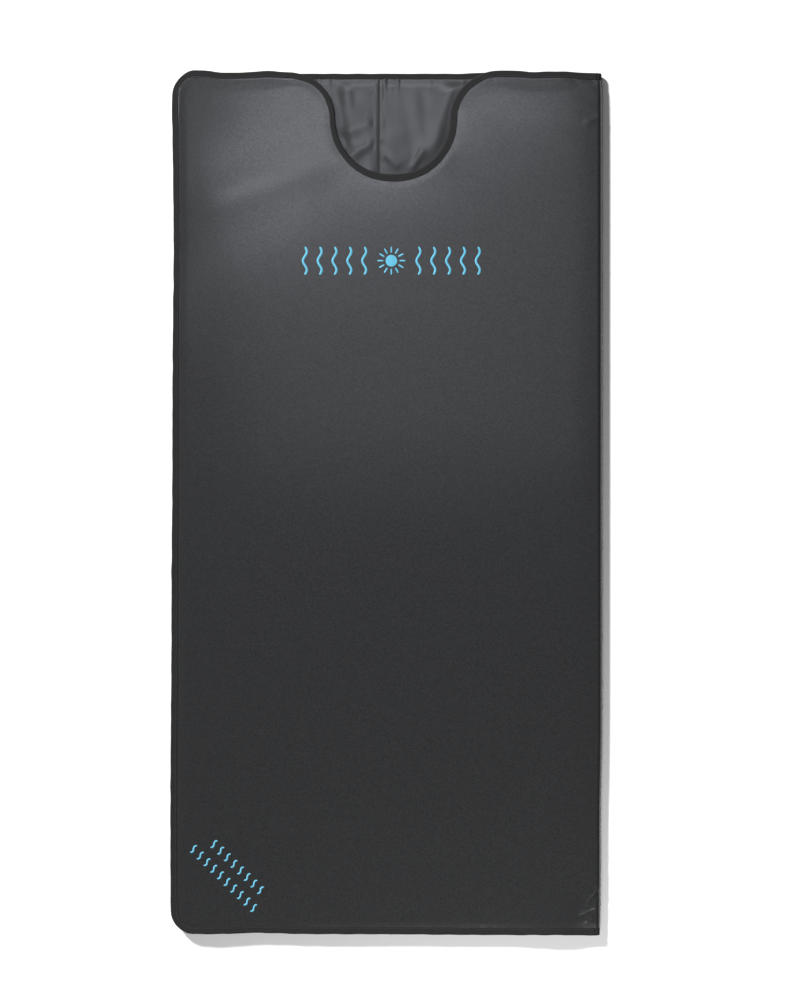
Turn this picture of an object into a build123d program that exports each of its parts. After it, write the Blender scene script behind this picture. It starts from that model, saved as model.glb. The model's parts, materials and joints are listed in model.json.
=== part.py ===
from build123d import *
import math
import os

# Infrared sauna blanket, closed and lying flat.  Millimetres.
# X runs across the blanket (the fold is at +X), Y from foot (-) to head (+), Z up from the floor.
# The blanket is one long padded sheet folded once: the base panel lies on the floor, the flap on top.

os.makedirs("parts", exist_ok=True)

# ---------------------------------------------------------------- driving dimensions
width = 900.0
length = 1800.0
corner_radius = 48.0

# One panel, from its outer face inwards.
skin = 0.8
felt = 3.0
foil = 0.2
scrim = 0.4
ribbon = 1.0
charcoal = 0.6
clay = 0.6
crystal = 1.0
magnet = 1.6
panel_gap = 2.4

# Binding tape, folded over every free edge.
tape = 0.8
tape_width = 15.0
rim_lap = 2.0

# Neck cut-out of the flap: a semicircular throat that flares into the head edge on two shoulders.
neck_x = 11.0
throat_radius = 120.0
shoulder_radius = 95.0

# Inner layers stop short of the sewn edge and of the fold.
felt_edge = 24.0
layer_edge = 27.0
layer_fold_gap = 12.0
seam_x = -20.0

# Carbon heating ribbon: runs along Y, joined by U turns.
ribbon_width = 6.0
ribbon_pitch = 60.0
ribbon_runs = 14
ribbon_foot_y = -760.0
ribbon_head_y = 770.0
ribbon_neck_y = 590.0
ribbon_neck_reach = 160.0

# Magnet strips.
magnet_width = 30.0
magnet_xs = (-360.0, -240.0, -120.0, 120.0, 240.0, 360.0)
magnet_foot_y = -720.0
magnet_head_y = 720.0
magnet_neck_y = 560.0

# Hook and loop closure along the free side and the foot.
closure_width = 25.0
closure_thickness = 1.1
closure_edge = 18.0
closure_side_reach = 840.0
closure_foot_from_x = -395.0
closure_foot_to_x = 425.0

# Flat twin lead wires, thermostats and temperature sensor, let into the felt.
lead_width = 5.0
lead_outer = 1.8
lead_inner = 3.4
lead_y = -800.0
lead_head_y = 600.0
thermostat_size = (7.0, 18.0)
thermostat_levels = (1.5, 3.9)
thermostat_ys = (-500.0, -100.0, 300.0)
sensor_size = (4.0, 8.0)
sensor_levels = (2.0, 3.8)
pocket_play = 0.5
pocket_skin = 0.1
crimp_size = (8.0, 8.0)

# Power inlet in the foot edge of the base panel, near the fold.
inlet_x = 380.0
inlet_width = 60.0
inlet_depth = 48.0
inlet_wall = 2.0
inlet_skin = 1.6
pin_count = 4
pin_pitch = 10.0
pin_radius = 0.8
pin_recess = 7.0
pin_length = 26.0
block_depth = 8.0
block_recess = 19.0
screw_radius = 1.0
screw_head_radius = 1.9
screw_reach_x = 23.0
screw_recess = 40.0
screw_reach_z = 6.8
boss_radius = 2.8
pin_play = 0.02
screw_play = 0.08
inlet_exit_depth = 4.0
cut_past = 1.0

# Embroidery, standing a little proud of the flap cover.
thread_height = 0.3
wave_stroke = 4.6
wave_amplitude = 4.0
wave_height = 58.0
wave_turns = 1.5
wave_steps = 12
emblem_centre = (8.0, 507.0)
emblem_reach = 187.0
waves_per_side = 5
wave_spacing = 31.0
sun_radius = 12.0
sun_ray_inner = 17.0
sun_ray_outer = 29.0
sun_rays = 12
ray_stroke = 3.2
mark_height = 20.0
mark_stroke = 3.4
mark_amplitude = 2.4
mark_turns = 1.0
mark_spacing = 19.5
mark_rows = ((-313.5, -760.0, 8), (-341.5, -784.0, 10))
mark_row_angle = -45.0

# ---------------------------------------------------------------- worked out from the above
panel_thickness = 2 * skin + felt + foil + scrim + ribbon + charcoal + clay + crystal + magnet
height = 2 * panel_thickness + panel_gap
fold_radius = height / 2
fold_inner_radius = panel_gap / 2
fold_x = width / 2 - fold_radius
half_length = length / 2
throat_y = half_length - shoulder_radius
shoulder_reach = throat_radius + shoulder_radius
inlet_y = -half_length

felt_top = skin + felt
foil_top = felt_top + foil
scrim_top = foil_top + scrim
ribbon_top = scrim_top + ribbon
charcoal_top = ribbon_top + charcoal
clay_top = charcoal_top + clay
crystal_top = clay_top + crystal
magnet_top = crystal_top + magnet
ribbon_xs = [(i - (ribbon_runs - 1) / 2) * ribbon_pitch for i in range(ribbon_runs)]


# ---------------------------------------------------------------- helpers
def block(x_range, y_range, z_range):
    """Box between two limits on each axis."""
    size = [high - low for low, high in (x_range, y_range, z_range)]
    middle = [(low + high) / 2 for low, high in (x_range, y_range, z_range)]
    return Pos(*middle) * Box(*size)


def rod_z(radius, x, y, z_range):
    """Upright cylinder."""
    low, high = z_range
    return Pos(x, y, (low + high) / 2) * Cylinder(radius, high - low)


def rod_y(radius, x, z, y_range):
    """Cylinder along Y."""
    low, high = y_range
    return Pos(x, (low + high) / 2, z) * Rot(90, 0, 0) * Cylinder(radius, high - low)


def arc_about(centre, radius, start_angle, end_angle):
    """Circular arc about a centre, angles in degrees."""
    points = []
    for angle in (start_angle, (start_angle + end_angle) / 2, end_angle):
        turn = math.radians(angle)
        points.append((centre[0] + radius * math.cos(turn), centre[1] + radius * math.sin(turn)))
    return ThreePointArc(*points)


def neck_edges(edge):
    """Shoulder, throat and shoulder of the cut-out, from the fold side to the free side."""
    shoulder = shoulder_radius - edge
    throat = throat_radius + edge
    right = (neck_x + shoulder_reach, throat_y)
    left = (neck_x - shoulder_reach, throat_y)
    return [
        arc_about(right, shoulder, 90, 180),
        arc_about((neck_x, throat_y), throat, 0, -180),
        arc_about(left, shoulder, 0, 90),
    ]


def panel_outline(edge, fold_gap=0.0, neck=False):
    """Face of one panel, its free edges set in by `edge` and its fold side by `fold_gap`."""
    left = -width / 2 + edge
    right = fold_x - fold_gap
    head = half_length - edge
    corner = corner_radius - edge
    edges = [Line((right, -head), (right, head))]
    if neck:
        edges.append(Line((right, head), (neck_x + shoulder_reach, head)))
        edges += neck_edges(edge)
        edges.append(Line((neck_x - shoulder_reach, head), (left + corner, head)))
    else:
        edges.append(Line((right, head), (left + corner, head)))
    edges.append(arc_about((left + corner, head - corner), corner, 90, 180))
    edges.append(Line((left, head - corner), (left, corner - head)))
    edges.append(arc_about((left + corner, corner - head), corner, 180, 270))
    edges.append(Line((left + corner, -head), (right, -head)))
    return make_face(edges)


def plate(z_range, edge, fold_gap=0.0, neck=False):
    """Flat layer with the panel's outline."""
    low, high = z_range
    face = panel_outline(edge, fold_gap, neck)
    return Pos(0, 0, low) * extrude(face, amount=high - low, dir=(0, 0, 1))


def band(z_range, outer_edge, inner_edge, neck=False):
    """Strip that follows the free edges of a panel."""
    return plate(z_range, outer_edge, 0, neck) - plate(z_range, inner_edge, 0, neck)


def in_flap(piece):
    """Turn a piece of the base panel over into the flap: the outer face ends up on top."""
    return mirror(piece, about=Plane.XY.offset(height / 2))


def fold_shell(inner_radius, outer_radius, y_range):
    """Half tube round the fold line, open towards the panels."""
    low, high = y_range
    tube = rod_y(outer_radius, fold_x, height / 2, y_range) - rod_y(inner_radius, fold_x, height / 2, y_range)
    keep = block((fold_x, fold_x + outer_radius), (low, high), (0, height))
    return tube & keep


def write(name, piece):
    """Write one node; a group of separate solids becomes a compound."""
    solids = piece.solids()
    shape = solids[0] if len(solids) == 1 else Compound(children=list(solids))
    export_step(shape, f"parts/{name}.step")


# ---------------------------------------------------------------- one panel's layers
def outer_cover(neck):
    """Coated cover: a plate whose rim steps in under the binding tape."""
    rim = band((skin, skin + tape), tape, tape_width + rim_lap, neck)
    return plate((0, skin), tape_width, 0, neck) + rim


def lining(neck):
    """Coated lining, the same build facing the other way."""
    rim = band((magnet_top - tape, magnet_top), tape, tape_width + rim_lap, neck)
    return plate((magnet_top, panel_thickness), tape_width, 0, neck) + rim


def lining_half(neck, left):
    """One of the two widths that meet at the lengthwise seam."""
    x_range = (-width, seam_x) if left else (seam_x, width)
    return lining(neck) & block(x_range, (-length, length), (0, height))


def binding(neck):
    """Tape folded over the free edges: an outer wall and two legs, flush with the sheets."""
    wall = band((0, panel_thickness), 0, tape, neck)
    outer_leg = band((0, tape), 0, tape_width, neck)
    inner_leg = band((panel_thickness - tape, panel_thickness), 0, tape_width, neck)
    return wall + outer_leg + inner_leg


def neck_region():
    """Space round the cut-out, used to part the neck tape from the edge tape."""
    x_range = (neck_x - shoulder_reach, neck_x + shoulder_reach)
    y_range = (throat_y - throat_radius - 2 * tape_width, length)
    return block(x_range, y_range, (-height, 2 * height))


def lead_strips(play, inlet_branch):
    """Flat leads: one across the foot, one up the middle, and a branch from the inlet."""
    half = lead_width / 2 + play
    z_range = (lead_outer - play, lead_inner + play)
    strips = block((ribbon_xs[0] - half, fold_x), (lead_y - half, lead_y + half), z_range)
    strips += block((-half, half), (lead_y, lead_head_y), z_range)
    if inlet_branch:
        branch_y = (inlet_y + pin_recess + pin_length, lead_y)
        strips += block((inlet_x - half, inlet_x + half), branch_y, z_range)
    return strips


def thermostat_bodies(play):
    """Flat bimetal cut-outs in line with the middle lead."""
    half_x = thermostat_size[0] / 2 + play
    half_y = thermostat_size[1] / 2 + play
    skin_play = pocket_skin if play else 0
    z_range = (thermostat_levels[0] - skin_play, thermostat_levels[1] + skin_play)
    return [block((-half_x, half_x), (y - half_y, y + half_y), z_range) for y in thermostat_ys]


def sensor_body(play):
    """Temperature sensor bead at the head end of the middle lead."""
    half_x = sensor_size[0] / 2 + play
    y_range = (lead_head_y - play, lead_head_y + sensor_size[1] + play)
    skin_play = pocket_skin if play else 0
    return block((-half_x, half_x), y_range, (sensor_levels[0] - skin_play, sensor_levels[1]))


def crimp_bodies(play):
    """Crimp terminals that join the leads to the two ends of the ribbon."""
    half_x = crimp_size[0] / 2 + play
    half_y = crimp_size[1] / 2 + play
    y_range = (lead_y - half_y, lead_y + half_y)
    ends = (ribbon_xs[0] + lead_width / 2, ribbon_xs[-1])
    return [block((x - half_x, x + half_x), y_range, (lead_inner, scrim_top)) for x in ends]


def inlet_space():
    """Room that the inlet housing takes between the cover and the lining."""
    x_range = (inlet_x - inlet_width / 2, inlet_x + inlet_width / 2)
    return block(x_range, (inlet_y - tape_width, inlet_y + inlet_depth), (skin, magnet_top))


def insulation_pad(neck, base):
    """Felt with pockets for the leads, thermostats, crimps and sensor."""
    pad = plate((skin, felt_top), felt_edge, 0, neck)
    pad -= lead_strips(pocket_play, base)
    for pocket in thermostat_bodies(pocket_play) + crimp_bodies(pocket_play):
        pad -= pocket
    if base:
        pad -= sensor_body(pocket_play)
        pad -= inlet_space()
    return pad


def thin_layer(z_range, neck, base, pierced):
    """Foil, scrim or mineral layer; the lower ones are pierced for crimps and thermostats."""
    layer = plate(z_range, layer_edge, layer_fold_gap, neck)
    if pierced:
        for hole in thermostat_bodies(pocket_play) + crimp_bodies(pocket_play):
            layer -= hole
    if base:
        layer -= inlet_space()
    return layer


def ribbon_reach(index, neck):
    """Head end of the pair of runs that the run belongs to."""
    pair = ribbon_xs[index - index % 2:][:2]
    near_neck = min(abs(x - neck_x) for x in pair) < ribbon_neck_reach
    return ribbon_neck_y if neck and near_neck else ribbon_head_y


def heating_ribbon(neck):
    """Serpentine ribbon; both ends run down to the crimps at the foot."""
    half = ribbon_width / 2
    z_range = (scrim_top, ribbon_top)
    outer = ribbon_pitch / 2 + half
    inner = ribbon_pitch / 2 - half
    snake = None
    for i, x in enumerate(ribbon_xs):
        head = ribbon_reach(i, neck)
        ends_here = i in (0, ribbon_runs - 1)
        foot = lead_y if ends_here else ribbon_foot_y
        run = block((x - half, x + half), (foot, head), z_range)
        snake = run if snake is None else snake + run
        if i < ribbon_runs - 1:
            at_head = i % 2 == 0
            turn_y = head if at_head else ribbon_foot_y
            centre_x = x + ribbon_pitch / 2
            ring = rod_z(outer, centre_x, turn_y, z_range) - rod_z(inner, centre_x, turn_y, z_range)
            y_range = (turn_y, turn_y + outer) if at_head else (turn_y - outer, turn_y)
            snake += ring & block((centre_x - outer, centre_x + outer), y_range, z_range)
    return snake


def magnet_strips(neck):
    """Flexible magnet strips between the crystal layer and the lining."""
    strips = []
    for x in magnet_xs:
        near_neck = abs(x - neck_x) < ribbon_neck_reach
        head = magnet_neck_y if neck and near_neck else magnet_head_y
        x_range = (x - magnet_width / 2, x + magnet_width / 2)
        strips.append(block(x_range, (magnet_foot_y, head), (crystal_top, magnet_top)))
    return Compound(children=strips)


def closure_side():
    """Hook or loop strip along the free side, sewn on the lining."""
    x_low = -width / 2 + closure_edge
    z_range = (panel_thickness, panel_thickness + closure_thickness)
    return block((x_low, x_low + closure_width), (-closure_side_reach, closure_side_reach), z_range)


def closure_foot():
    """Hook or loop strip along the foot."""
    y_low = -half_length + closure_edge
    z_range = (panel_thickness, panel_thickness + closure_thickness)
    return block((closure_foot_from_x, closure_foot_to_x), (y_low, y_low + closure_width), z_range)


def lead_wires(base):
    """Leads without the stretches that the thermostats take."""
    leads = lead_strips(0, base)
    for body in thermostat_bodies(0):
        leads -= body
    return leads


# ---------------------------------------------------------------- power inlet
def inlet_shell(lower):
    """Half of the flat inlet housing, open at the foot edge."""
    x_range = (inlet_x - inlet_width / 2, inlet_x + inlet_width / 2)
    rear_y = inlet_y + inlet_depth
    middle = panel_thickness / 2
    flange = block(x_range, (inlet_y, inlet_y + tape_width), (0, middle))
    body = block(x_range, (inlet_y + tape_width, rear_y), (skin, middle))
    shell = flange + body
    cavity_x = (x_range[0] + inlet_wall, x_range[1] - inlet_wall)
    shell -= block(cavity_x, (inlet_y - cut_past, rear_y - inlet_wall), (inlet_skin, middle))
    hole_radius = screw_radius + (screw_play if lower else pin_play)
    for side in (-1, 1):
        x = inlet_x + side * screw_reach_x
        y = inlet_y + screw_recess
        shell += rod_z(boss_radius, x, y, (inlet_skin, middle))
        shell -= rod_z(hole_radius, x, y, (inlet_skin, middle))
        if lower:
            shell -= rod_z(screw_head_radius + screw_play, x, y, (0, inlet_skin))
    if lower:
        half = lead_width / 2 + pocket_play
        exit_y = (rear_y - inlet_exit_depth, rear_y + cut_past)
        shell -= block((inlet_x - half, inlet_x + half), exit_y, (inlet_skin, lead_inner + pocket_play))
        return shell
    return mirror(shell, about=Plane.XY.offset(middle))


def inlet_contact_block():
    """Insulating block that carries the pins."""
    half = inlet_width / 2 - inlet_wall
    y_low = inlet_y + block_recess
    z_range = (inlet_skin, panel_thickness - inlet_skin)
    body = block((inlet_x - half, inlet_x + half), (y_low, y_low + block_depth), z_range)
    for pin in pin_rods(pin_radius + pin_play):
        body -= pin
    return body


def pin_rods(radius):
    """Contact pins, side by side at mid height."""
    y_range = (inlet_y + pin_recess, inlet_y + pin_recess + pin_length)
    xs = [inlet_x + (i - (pin_count - 1) / 2) * pin_pitch for i in range(pin_count)]
    return [rod_y(radius, x, panel_thickness / 2, y_range) for x in xs]


def inlet_screws():
    """Two screws that hold the shells together, heads in the lower shell."""
    screws = []
    for side in (-1, 1):
        x = inlet_x + side * screw_reach_x
        y = inlet_y + screw_recess
        head = rod_z(screw_head_radius, x, y, (skin, inlet_skin))
        screws.append(head + rod_z(screw_radius, x, y, (inlet_skin, screw_reach_z)))
    return Compound(children=screws)


# ---------------------------------------------------------------- fold
def fold_sheet(surface_radius, inwards):
    """Cover or lining where it turns round the fold, its ends stepped in under the tape."""
    sign = 1 if inwards else -1
    radii = sorted((surface_radius, surface_radius - sign * skin))
    under = sorted((surface_radius - sign * skin, surface_radius - sign * (skin + tape)))
    sheet = fold_shell(*radii, (tape_width - half_length, half_length - tape_width))
    for end in (-1, 1):
        y_range = sorted((end * (half_length - tape), end * (half_length - tape_width - rim_lap)))
        sheet += fold_shell(*under, y_range)
    return sheet


def fold_insulation():
    """Felt round the fold, with a slot for the jumper leads."""
    reach = half_length - felt_edge
    pad = fold_shell(fold_radius - felt_top, fold_radius - skin, (-reach, reach))
    return pad - jumper_wires(pocket_play)


def jumper_wires(play):
    """Leads that carry the current from the base panel round the fold to the flap."""
    half = lead_width / 2 + play
    inner = fold_radius - lead_inner - play
    return fold_shell(inner, fold_radius - lead_outer + play, (lead_y - half, lead_y + half))


def fold_binding(head):
    """Tape over one end of the fold."""
    end = 1 if head else -1

    def ring(inner, outer, reach):
        y_range = sorted((end * half_length, end * (half_length - reach)))
        return fold_shell(inner, outer, y_range)

    cap = ring(fold_inner_radius, fold_radius, tape)
    outer_leg = ring(fold_radius - tape, fold_radius, tape_width)
    inner_leg = ring(fold_inner_radius, fold_inner_radius + tape, tape_width)
    return cap + outer_leg + inner_leg


# ---------------------------------------------------------------- embroidery
def heat_wave(height_y, stroke, amplitude, turns):
    """Upright wavy stroke in the XY plane, centred on the origin."""

    def side(offset):
        points = []
        for i in range(wave_steps + 1):
            along = i / wave_steps
            sway = amplitude * math.sin(2 * math.pi * turns * along)
            points.append((sway + offset, (along - 0.5) * height_y))
        return points

    left = side(-stroke / 2)
    right = side(stroke / 2)
    edges = [Spline(*left), Spline(*right), Line(left[0], right[0]), Line(left[-1], right[-1])]
    return extrude(make_face(edges), amount=thread_height, dir=(0, 0, 1))


def sun():
    """Plain disc with short rays."""
    pieces = [extrude(Circle(sun_radius), amount=thread_height)]
    ray_length = sun_ray_outer - sun_ray_inner
    for i in range(sun_rays):
        ray = extrude(SlotOverall(ray_length, ray_stroke), amount=thread_height)
        pieces.append(Rot(0, 0, i * 360 / sun_rays) * Pos((sun_ray_inner + sun_ray_outer) / 2, 0, 0) * ray)
    return pieces


def emblem():
    """A sun between two sets of rising heat waves."""
    centre = Pos(emblem_centre[0], emblem_centre[1], height)
    pieces = [centre * piece for piece in sun()]
    wave = heat_wave(wave_height, wave_stroke, wave_amplitude, wave_turns)
    for side in (-1, 1):
        for i in range(waves_per_side):
            x = side * (emblem_reach - wave_stroke / 2 - wave_amplitude - i * wave_spacing)
            pieces.append(centre * Pos(x, 0, 0) * wave)
    return Compound(children=pieces)


def corner_marks():
    """Two slanting rows of small heat waves in the foot corner of the free side."""
    mark = heat_wave(mark_height, mark_stroke, mark_amplitude, mark_turns)
    pieces = []
    for x, y, count in mark_rows:
        row = Pos(x, y, height) * Rot(0, 0, mark_row_angle)
        for i in range(count):
            pieces.append(row * Pos((i - (count - 1) / 2) * mark_spacing, 0, 0) * mark)
    return Compound(children=pieces)


# ---------------------------------------------------------------- nodes
def write_panel(name, neck, base, place):
    """Write the layers that the base panel and the flap have in common."""
    cover = outer_cover(neck)
    write(f"{name}_outer_cover", place(cover - inlet_space() if base else cover))
    write(f"{name}_insulation_pad", place(insulation_pad(neck, base)))
    write(f"{name}_reflective_foil", place(thin_layer((felt_top, foil_top), neck, base, True)))
    write(f"{name}_heater_scrim", place(thin_layer((foil_top, scrim_top), neck, base, True)))
    write(f"{name}_heating_ribbon", place(heating_ribbon(neck)))
    write(f"{name}_charcoal_layer", place(thin_layer((ribbon_top, charcoal_top), neck, base, False)))
    write(f"{name}_clay_layer", place(thin_layer((charcoal_top, clay_top), neck, base, False)))
    write(f"{name}_crystal_layer", place(thin_layer((clay_top, crystal_top), neck, base, False)))
    write(f"{name}_magnet_strips", place(magnet_strips(neck)))
    write(f"{name}_lining_left", place(lining_half(neck, True)))
    right = lining_half(neck, False)
    write(f"{name}_lining_right", place(right - inlet_space() if base else right))
    write(f"{name}_lead_wires", place(lead_wires(base)))
    write(f"{name}_thermostats", place(Compound(children=thermostat_bodies(0))))
    write(f"{name}_crimp_terminals", place(Compound(children=crimp_bodies(0))))


def write_base():
    """Lower panel with its edge tape, hook strips and power inlet."""
    write_panel("base", False, True, lambda piece: piece)
    mouth_x = (inlet_x - inlet_width / 2, inlet_x + inlet_width / 2)
    mouth = block(mouth_x, (inlet_y - cut_past, inlet_y + tape_width), (0, panel_thickness))
    write("base_edge_binding", binding(False) - mouth)
    write("base_hook_strip_side", closure_side())
    write("base_hook_strip_foot", closure_foot())
    write("base_temperature_sensor", sensor_body(0))
    write("inlet_lower_shell", inlet_shell(True))
    write("inlet_upper_shell", inlet_shell(False))
    write("inlet_contact_block", inlet_contact_block())
    write("inlet_pins", Compound(children=pin_rods(pin_radius)))
    write("inlet_screws", inlet_screws())


def write_fold():
    """Everything that turns round the fold."""
    write("fold_outer_cover", fold_sheet(fold_radius, True))
    write("fold_insulation", fold_insulation())
    write("fold_lining", fold_sheet(fold_inner_radius, False))
    write("fold_head_binding", fold_binding(True))
    write("fold_foot_binding", fold_binding(False))
    write("fold_jumper_wires", jumper_wires(0))


def write_flap():
    """Upper panel with its neck cut-out, tapes, loop strips and embroidery."""
    write_panel("flap", True, False, in_flap)
    tape_round_flap = binding(True)
    write("flap_edge_binding", in_flap(tape_round_flap - neck_region()))
    write("neck_binding", in_flap(tape_round_flap & neck_region()))
    write("flap_loop_strip_side", in_flap(closure_side()))
    write("flap_loop_strip_foot", in_flap(closure_foot()))
    write("emblem_embroidery", emblem())
    write("corner_embroidery", corner_marks())


write_base()
write_fold()
write_flap()
print(f"height {height:.2f}, fold radius {fold_radius:.2f}, fold x {fold_x:.2f}")
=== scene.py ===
"""Looks of the infrared sauna blanket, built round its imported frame.  Metres, Z up, head end at +Y.

Every soft layer is drawn on one flat pattern and then wrapped.  A point has a place across the
panel (u, which runs on round the fold), a place along it (y) and a depth below the outer face.
"""

import json
import math

import bpy
import numpy as np
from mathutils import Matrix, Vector


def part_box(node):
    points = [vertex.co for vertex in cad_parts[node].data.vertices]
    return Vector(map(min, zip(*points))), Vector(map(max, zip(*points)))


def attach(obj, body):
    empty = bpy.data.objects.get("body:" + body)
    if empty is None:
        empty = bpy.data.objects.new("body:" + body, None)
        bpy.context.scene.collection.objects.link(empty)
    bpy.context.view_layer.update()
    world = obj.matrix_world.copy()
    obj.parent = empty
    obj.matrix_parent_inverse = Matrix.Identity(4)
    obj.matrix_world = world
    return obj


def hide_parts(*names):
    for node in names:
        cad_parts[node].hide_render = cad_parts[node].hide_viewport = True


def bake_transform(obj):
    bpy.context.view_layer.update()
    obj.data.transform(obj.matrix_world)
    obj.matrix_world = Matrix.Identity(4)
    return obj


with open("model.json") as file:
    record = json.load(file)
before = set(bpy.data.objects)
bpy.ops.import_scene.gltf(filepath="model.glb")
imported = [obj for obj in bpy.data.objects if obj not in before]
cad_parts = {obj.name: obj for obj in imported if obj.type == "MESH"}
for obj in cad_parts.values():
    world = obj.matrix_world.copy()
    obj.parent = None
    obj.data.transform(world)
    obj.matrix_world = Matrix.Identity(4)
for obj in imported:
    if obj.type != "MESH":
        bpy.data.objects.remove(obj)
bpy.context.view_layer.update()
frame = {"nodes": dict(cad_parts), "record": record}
nodes = frame["nodes"]
MM = 0.001
BODY = {False: "base", True: "flap"}

# ---- sizes taken from the frame
FOLD_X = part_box("fold_outer_cover")[0].x
FOLD_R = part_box("fold_outer_cover")[1].x - FOLD_X
HEIGHT = 2 * FOLD_R
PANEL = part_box("base_edge_binding")[1].z
HALF_W = -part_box("base_edge_binding")[0].x
HALF_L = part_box("base_edge_binding")[1].y
TAPE_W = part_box("fold_head_binding")[1].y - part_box("fold_head_binding")[0].y
NECK_LOW, NECK_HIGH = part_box("neck_binding")
NECK_X = (NECK_LOW.x + NECK_HIGH.x) / 2
NECK_REACH = (NECK_HIGH.x - NECK_LOW.x) / 2
THROAT_R = 0.120
SHOULDER_R = NECK_REACH - THROAT_R
THROAT_Y = HALF_L - SHOULDER_R
CORNER_R = 0.048
SEAM_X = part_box("base_lining_left")[1].x
INLET_LOW, INLET_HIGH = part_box("inlet_lower_shell")
FOLD_END = FOLD_X + math.pi / 2 * FOLD_R

# ---- softness of the sewn edge
SKIN = 0.8 * MM
TAPE = 0.7 * MM
PINCH_REACH = 15 * MM
NECK_PINCH_REACH = 13 * MM
FOLD_PINCH_REACH = 24 * MM
HEAD_PINCH_REACH = 32 * MM
PINCH_POWER = 1.8
SIDE_DROOP = 3.2 * MM
SIDE_DROOP_REACH = 95 * MM
SIDE_DROOP_LEAST = 0.3
SHOULDER_DROOP = 1.8 * MM
SHOULDER_DROOP_REACH = 42 * MM
FOLD_SOFT = 0.9 * MM
FOLD_SOFT_REACH = 60 * MM
FOLD_MEET = 6 * MM
FOLD_BLEND = 90 * MM
INLET_BLEND = 26 * MM
INLET_FLAT = 0.7
EDGE_HALF = 2.6 * MM
BASE_EDGE_MID = 3.6 * MM
BASE_NECK_MID = 5.9 * MM
FLAP_EDGE_MID = 3.9 * MM
HEAD_EDGE_MID = 3.5 * MM
NECK_EDGE_MID = 3.2 * MM
FOLD_EDGE_MID = PANEL / 2
SHEET_MARGIN = 5 * MM
OUTLINE_REACH = 50 * MM
BASE_SHARE = 0.8
THROAT_FLAT = 3.5 * MM
THROAT_FLAT_REACH = 50 * MM
THROAT_FLAT_DEPTH = 60 * MM
FOOT_LIFT_REACH = 55 * MM
BASE_LIFT_SHARE = 0.6
EDGE_RIPPLE_REACH = 30 * MM
LIFT_OFF_FOLD = 80 * MM

# Parts of the pattern as (start, reach), along or across it: 0 before the start, 1 a reach beyond it.
HEAD_PINCH_ALONG = (0.84, 0.03)
HEAD_PINCH_ACROSS = (-0.42, 0.05)
HEAD_EDGE_ALONG = (0.80, 0.08)
HEAD_EDGE_ACROSS = (-0.40, 0.08)
HEAD_TAPE_ALONG = (0.80, 0.06)
NECK_ALONG = (THROAT_Y - 0.25, 0.1)
NECK_BESIDE = (-NECK_REACH - 70 * MM, 90 * MM)
NECK_TAPE_ALONG = (0.6, 0.05)
NECK_TAPE_BESIDE = (15 * MM - NECK_REACH, 50 * MM)
SIDE_DROOP_ALONG = (0.35, 0.2)
SHOULDER_ALONG = (0.72, 0.12)
SHOULDER_ACROSS = (NECK_X + 0.04, 0.08)

# Where the sewn outline leaves its pattern, as (place along the edge, reach, millimetres outwards).
SIDE_BULGES = ((0.82, 0.06, 1.2), (0.53, 0.18, -2.4), (-0.15, 0.12, 1.0), (-0.68, 0.42, 4.2))
HEAD_BULGES = ((-0.400, 0.042, 6.4), (-0.252, 0.045, 4.2), (0.245, 0.052, 5.6), (0.355, 0.045, 3.4))
FOOT_BULGES = ((-0.265, 0.055, -2.4), (0.25, 0.22, 2.0), (0.43, 0.05, 2.2))
FOLD_BULGES = ((-0.90, 0.14, -4.2), (-0.66, 0.12, -3.0), (0.0, 2.0, -0.8))
# Where the foot edge stands up, as (place along the edge, reach, millimetres up).
FOOT_LIFTS = ((-0.375, 0.05, 3.5), (-0.12, 0.09, 1.2), (0.13, 0.06, 0.8), (0.35, 0.08, 5.0))

# Uneven ripples as (height, length, seed).
FLAP_JITTER = ((0.4 * MM, 55 * MM, 20), (0.4 * MM, 55 * MM, 21))
BASE_JITTER = ((0.4 * MM, 55 * MM, 40), (0.4 * MM, 55 * MM, 41))
EDGE_RIPPLE = (0.8 * MM, 0.26, 61)


# ---- small maths
def ease(t):
    t = np.clip(t, 0, 1)
    return t * t * (3 - 2 * t)


def past(value, start, reach):
    """0 before a start, 1 from a reach beyond it."""
    return ease((value - start) / reach)


def fade(distance, reach):
    """1 up to an edge, falling off beyond it."""
    return np.exp(-np.maximum(distance, 0) / reach)


def bell(offset, reach):
    """1 at no offset, falling off to both sides."""
    return np.exp(-((offset / reach) ** 2))


def mix(a, b, t):
    return a + (b - a) * t


def spaced(*stops):
    """Grid lines from (start, step) pairs and a last end value."""
    lines = []
    for (start, step), stop in zip(stops[:-1], stops[1:]):
        end = stop[0] if isinstance(stop, tuple) else stop
        count = max(1, int(math.ceil((end - start) / step - 1e-6)))
        lines.append(np.linspace(start, end, count, endpoint=False))
    last = stops[-1]
    lines.append([last])
    return np.concatenate(lines)


def ripple(t, height, length, seed, waves=7):
    """Uneven ripple along a line, between about -height and height."""
    rng = np.random.RandomState(seed)
    total = np.zeros_like(t)
    for _ in range(waves):
        wave = length * rng.uniform(0.7, 1.9)
        total = total + np.sin(2 * math.pi * t / wave + rng.uniform(0, 2 * math.pi))
    return height * total / math.sqrt(waves * 2)


def cloud(x, y, height, length, seed, waves=14):
    """Uneven rolling field, between about -height and height."""
    rng = np.random.RandomState(seed)
    total = np.zeros_like(x + y)
    for _ in range(waves):
        turn = rng.uniform(0, math.pi)
        wave = length * rng.uniform(0.6, 1.8)
        along = x * math.cos(turn) + y * math.sin(turn)
        total = total + np.sin(2 * math.pi * along / wave + rng.uniform(0, 2 * math.pi))
    return height * total / math.sqrt(waves * 2)


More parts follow.
